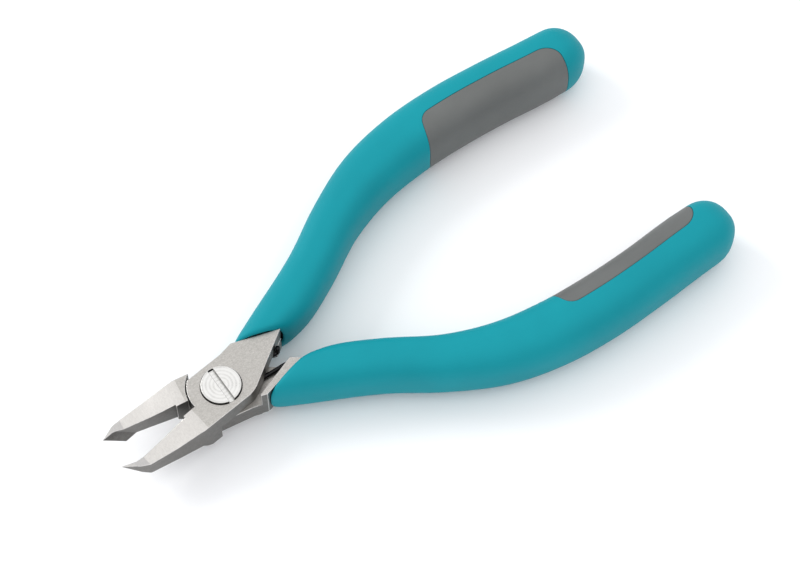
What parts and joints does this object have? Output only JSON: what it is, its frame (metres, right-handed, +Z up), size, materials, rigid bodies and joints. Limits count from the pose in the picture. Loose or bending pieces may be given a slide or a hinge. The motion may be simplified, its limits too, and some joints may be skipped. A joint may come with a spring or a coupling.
{
  "type": "flush cut pliers",
  "caption": "Small flush cut pliers with an angled tip, a screwed lap joint, a hidden return spring and curved soft grips with inner panels.",
  "frame": {"origin": "on the pivot axis, at the flat underside of the head", "axes": "+X along the tool towards the jaws' tips, +Z up out of the slotted screw head, +Y towards the lower half's handle"},
  "size_m": [0.1312, 0.0662, 0.0142],
  "materials": {
    "steel": "fine satin ground tool steel",
    "screw_steel": "turned, lightly scuffed",
    "spring_steel": "dark drawn spring wire",
    "core_plastic": "stiff moulded plastic",
    "teal_grip": "matte soft-touch moulding",
    "grey_inlay": "matte soft-touch moulding"
  },
  "bodies": {
    "lower_body": {"lower_half": "steel", "pivot_screw": "screw_steel", "pivot_nut": "screw_steel", "return_spring": "spring_steel", "lower_grip_core": "core_plastic", "lower_grip_sleeve": "teal_grip", "lower_grip_inlay": "grey_inlay"},
    "upper_body": {"upper_half": "steel", "upper_grip_core": "core_plastic", "upper_grip_sleeve": "teal_grip", "upper_grip_inlay": "grey_inlay"}
  },
  "joints": [
    {"name": "pivot_hinge", "type": "hinge", "parent": "lower_body", "child": "upper_body", "pos_m": [0, 0, 0.0041], "axis": [0, 0, -1], "range_deg": [0, 15], "stiffness_Nm_per_rad": 0.25, "springref_deg": -5.73, "deforming": ["return_spring"]}
  ]
}
